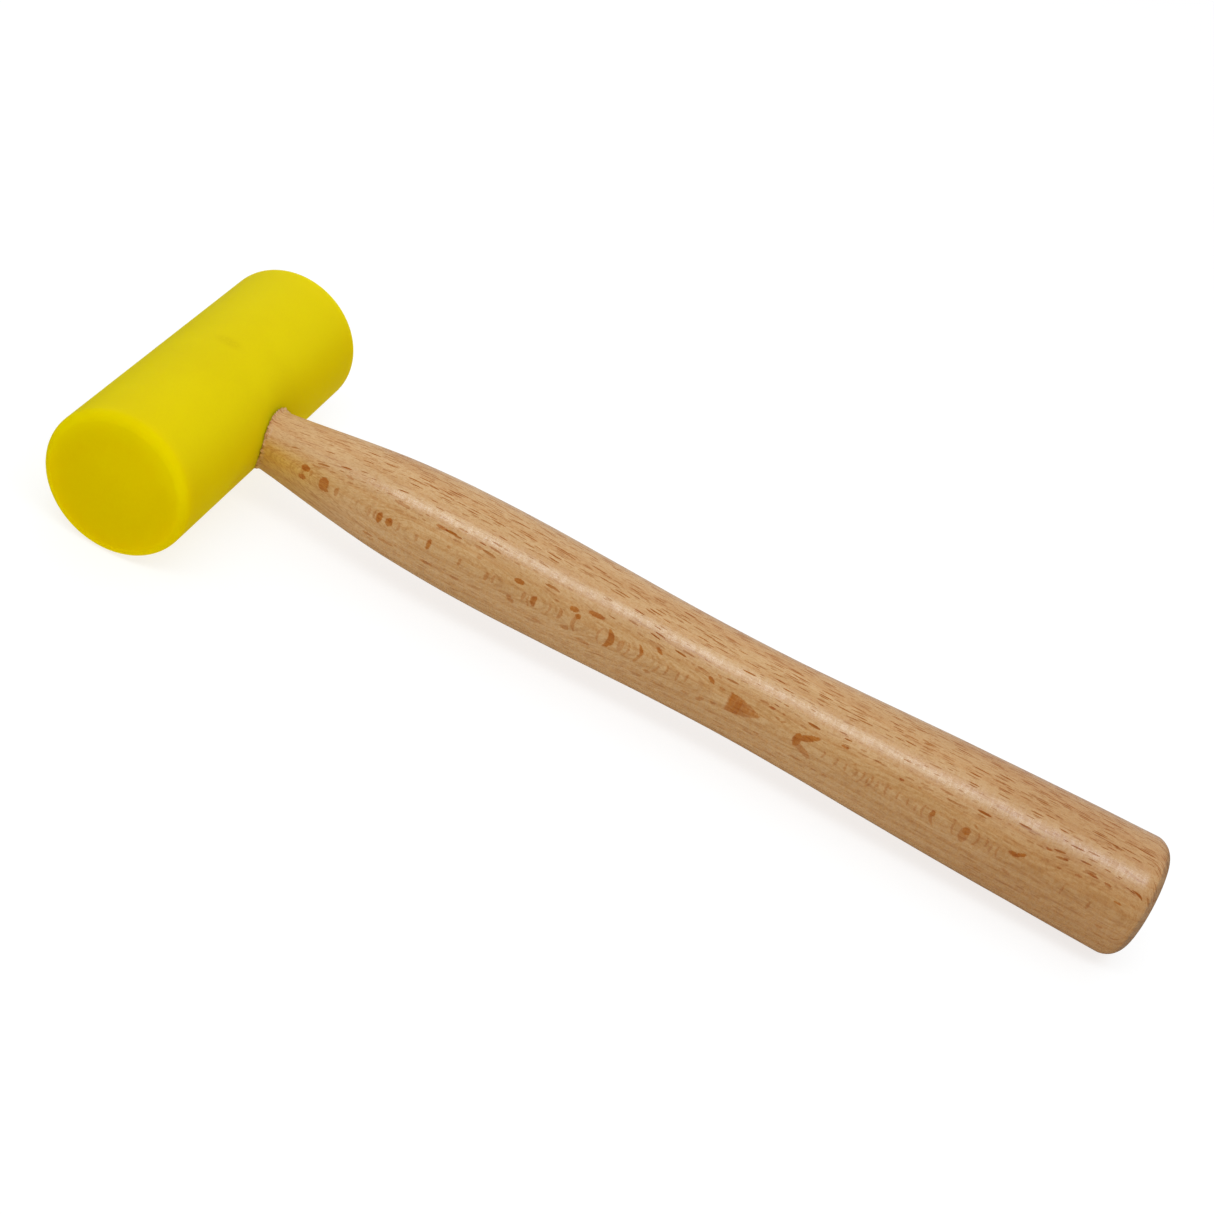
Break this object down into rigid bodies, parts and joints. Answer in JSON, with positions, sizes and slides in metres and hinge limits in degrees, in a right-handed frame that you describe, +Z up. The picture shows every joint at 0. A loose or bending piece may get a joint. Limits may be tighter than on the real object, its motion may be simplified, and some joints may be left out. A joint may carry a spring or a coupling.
{
  "type": "mallet",
  "caption": "Small mallet lying on a bench: round plastic striking head on a turned hardwood handle, wedged through the head.",
  "frame": {"origin": "middle of the footprint on the bench, under the lying tool", "axes": "+X from the head to the butt of the handle, level; +Y along the head, face to face; +Z up from the bench. The tool lies on the head's barrel and the butt's rounded edge, so its handle points 0.76 degrees down towards the butt"},
  "size_m": [0.2782, 0.0926, 0.038],
  "materials": {
    "head_plastic": "solid nylon, turned and lightly polished, satin, slightly translucent",
    "beech": "beech, fine sanded, thin satin clear lacquer, bare end grain on the tenon",
    "wedge_wood": "hardwood wedge, bare, dressed flush",
    "wedge_steel": "mild steel, as stamped, hammer-struck end"
  },
  "bodies": {
    "root": {"head": "head_plastic", "handle": "beech", "wood_wedge": "wedge_wood", "steel_wedge": "wedge_steel"}
  },
  "joints": []
}
